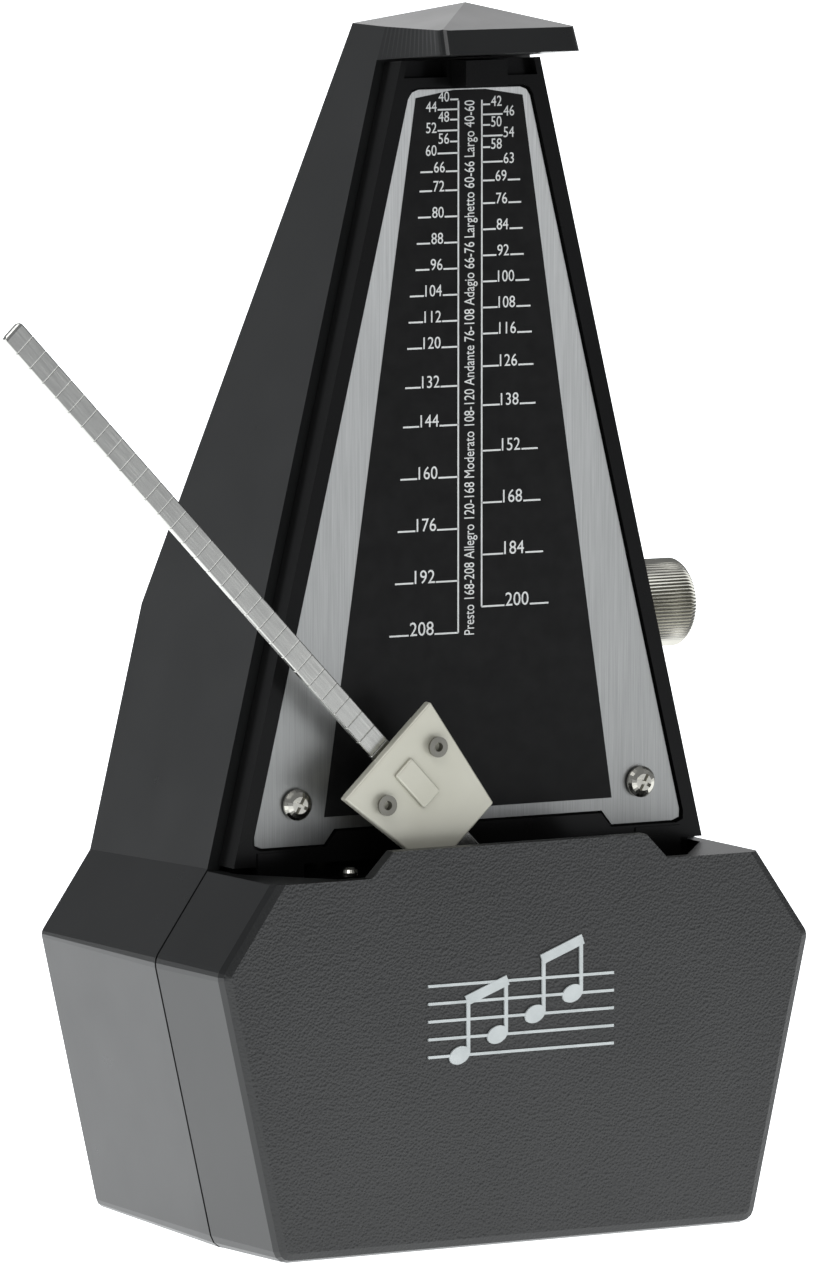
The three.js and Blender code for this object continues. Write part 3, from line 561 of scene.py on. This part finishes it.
def pressed_weight():
    """Front of the sliding weight: bevelled trapezoid with a raised channel over the rod."""
    y_front, y_back = -3.0 * MM, -1.0 * MM
    low, high = 8.0 * MM, 24.4 * MM
    low_half, high_half = 6.1 * MM, 8.7 * MM
    channel, lift = 1.65 * MM, 0.55 * MM
    bm = bmesh.new()
    body = [(-low_half, low), (low_half, low), (high_half, high), (-high_half, high)]
    prism(bm, body, y_back, y_front + lift)
    panel = [(-channel, 15.2 * MM), (channel, 15.2 * MM), (channel, 21.4 * MM), (-channel, 21.4 * MM)]
    prism(bm, panel, y_front + lift + 0.02 * MM, y_front)
    weight = mesh_object("sliding_weight_face", bm, WEIGHT_PAINT)
    round_edges(weight, 0.35, 4)
    weight.matrix_world = LEAN
    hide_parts("weight_front_plate")
    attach(weight, "sliding_weight")


# ---- Ornament on the front cover: a short stave with beamed notes, in raised grey ----
def ellipse(centre, a, b, turn, count=28):
    points = []
    for i in range(count):
        angle = 2 * math.pi * i / count
        x, z = a * math.cos(angle), b * math.sin(angle)
        points.append((centre[0] + x * math.cos(turn) - z * math.sin(turn),
                       centre[1] + x * math.sin(turn) + z * math.cos(turn)))
    return points


def front_ornament():
    low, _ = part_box("front_cover")
    y = low.y - 0.01 * MM
    thick = 0.25 * MM
    middle = 31.0 * MM
    spacing = 2.3 * MM
    half = 13.8 * MM
    bm = bmesh.new()
    for line in range(-2, 3):
        z = middle + line * spacing
        bar_between(bm, (-half, z), (half, z), 0.36 * MM, y, thick)
    for x, step in ((-9.2, -2), (-3.6, -1), (2.0, 0), (7.6, 1)):
        head = (x * MM, middle + step * spacing)
        prism(bm, ellipse(head, 1.55 * MM, 1.1 * MM, 0.4), y, y - thick * 1.15)
        stem = x * MM + 1.3 * MM
        bar_between(bm, (stem, head[1]), (stem, head[1] + 7.2 * MM), 0.5 * MM, y, thick * 1.05)
    for first in (-9.2, 2.0):
        step = -2 if first < 0 else 0
        start = (first * MM + 1.05 * MM, middle + step * spacing + 7.0 * MM)
        end = (first * MM + (5.6 + 1.55) * MM, start[1] + spacing)
        bar_between(bm, start, end, 1.3 * MM, y, thick * 1.1)
    ornament = mesh_object("front_ornament", bm, ORNAMENT_GREY)
    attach(ornament, "case")


# ---- Stage, light and camera ----
def stage():
    bm = bmesh.new()
    bmesh.ops.create_grid(bm, x_segments=1, y_segments=1, size=6)
    floor = mesh_object("floor", bm, floor_paper())


def area_light(name, place, target, size, power, color=(1, 1, 1)):
    light = bpy.data.lights.new(name, "AREA")
    light.shape = "RECTANGLE"
    light.size, light.size_y = size
    light.energy = power
    light.color = color
    obj = bpy.data.objects.new(name, light)
    obj.location = place
    obj.rotation_euler = (Vector(target) - Vector(place)).to_track_quat("-Z", "Y").to_euler()
    bpy.context.scene.collection.objects.link(obj)


def lights():
    middle = (0, 0, 0.08)
    area_light("key", (-0.7, -0.9, 1.3), middle, (0.8, 0.8), 7)
    area_light("right_strip", (1.1, -1.2, 0.35), middle, (0.35, 0.9), 1.2)
    area_light("roof_panel", (0.52, 0.98, 0.68), middle, (0.9, 0.6), 2.2)
    world = bpy.data.worlds.new("studio")
    bpy.context.scene.world = world
    world.use_nodes = True
    tree = world.node_tree
    room = tree.nodes["Background"]
    room.inputs["Color"].default_value = (0.95, 0.97, 1.0, 1)
    room.inputs["Strength"].default_value = 0.3
    backdrop = tree.nodes.new("ShaderNodeBackground")
    backdrop.inputs["Color"].default_value = (1.0, 1.0, 1.0, 1)
    backdrop.inputs["Strength"].default_value = 1.05
    path = tree.nodes.new("ShaderNodeLightPath")
    mix = tree.nodes.new("ShaderNodeMixShader")
    tree.links.new(path.outputs["Is Camera Ray"], mix.inputs["Fac"])
    tree.links.new(room.outputs["Background"], mix.inputs[1])
    tree.links.new(backdrop.outputs["Background"], mix.inputs[2])
    tree.links.new(mix.outputs["Shader"], tree.nodes["World Output"].inputs["Surface"])


def camera():
    azimuth, elevation = math.radians(CAMERA_AZIMUTH), math.radians(CAMERA_ELEVATION)
    target = Vector(CAMERA_TARGET) * MM
    back = Vector((math.sin(azimuth) * math.cos(elevation), -math.cos(azimuth) * math.cos(elevation),
                   math.sin(elevation)))
    data = bpy.data.cameras.new("camera")
    data.sensor_width = 36
    data.lens = CAMERA_LENS
    data.shift_x, data.shift_y = CAMERA_SHIFT
    data.clip_start = 0.05
    obj = bpy.data.objects.new("camera", data)
    obj.location = target + back * CAMERA_DISTANCE
    obj.rotation_euler = (-back).to_track_quat("-Z", "Y").to_euler()
    bpy.context.scene.collection.objects.link(obj)
    bpy.context.scene.camera = obj


camera()
dress_cad_nodes()
for piece in (black_field(), beat_marks(), tempo_words()):
    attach(piece, "case")
knurled_knob()
notched_rod()
pressed_weight()
front_ornament()
stage()
lights()
bpy.context.scene.view_settings.view_transform = "Standard"
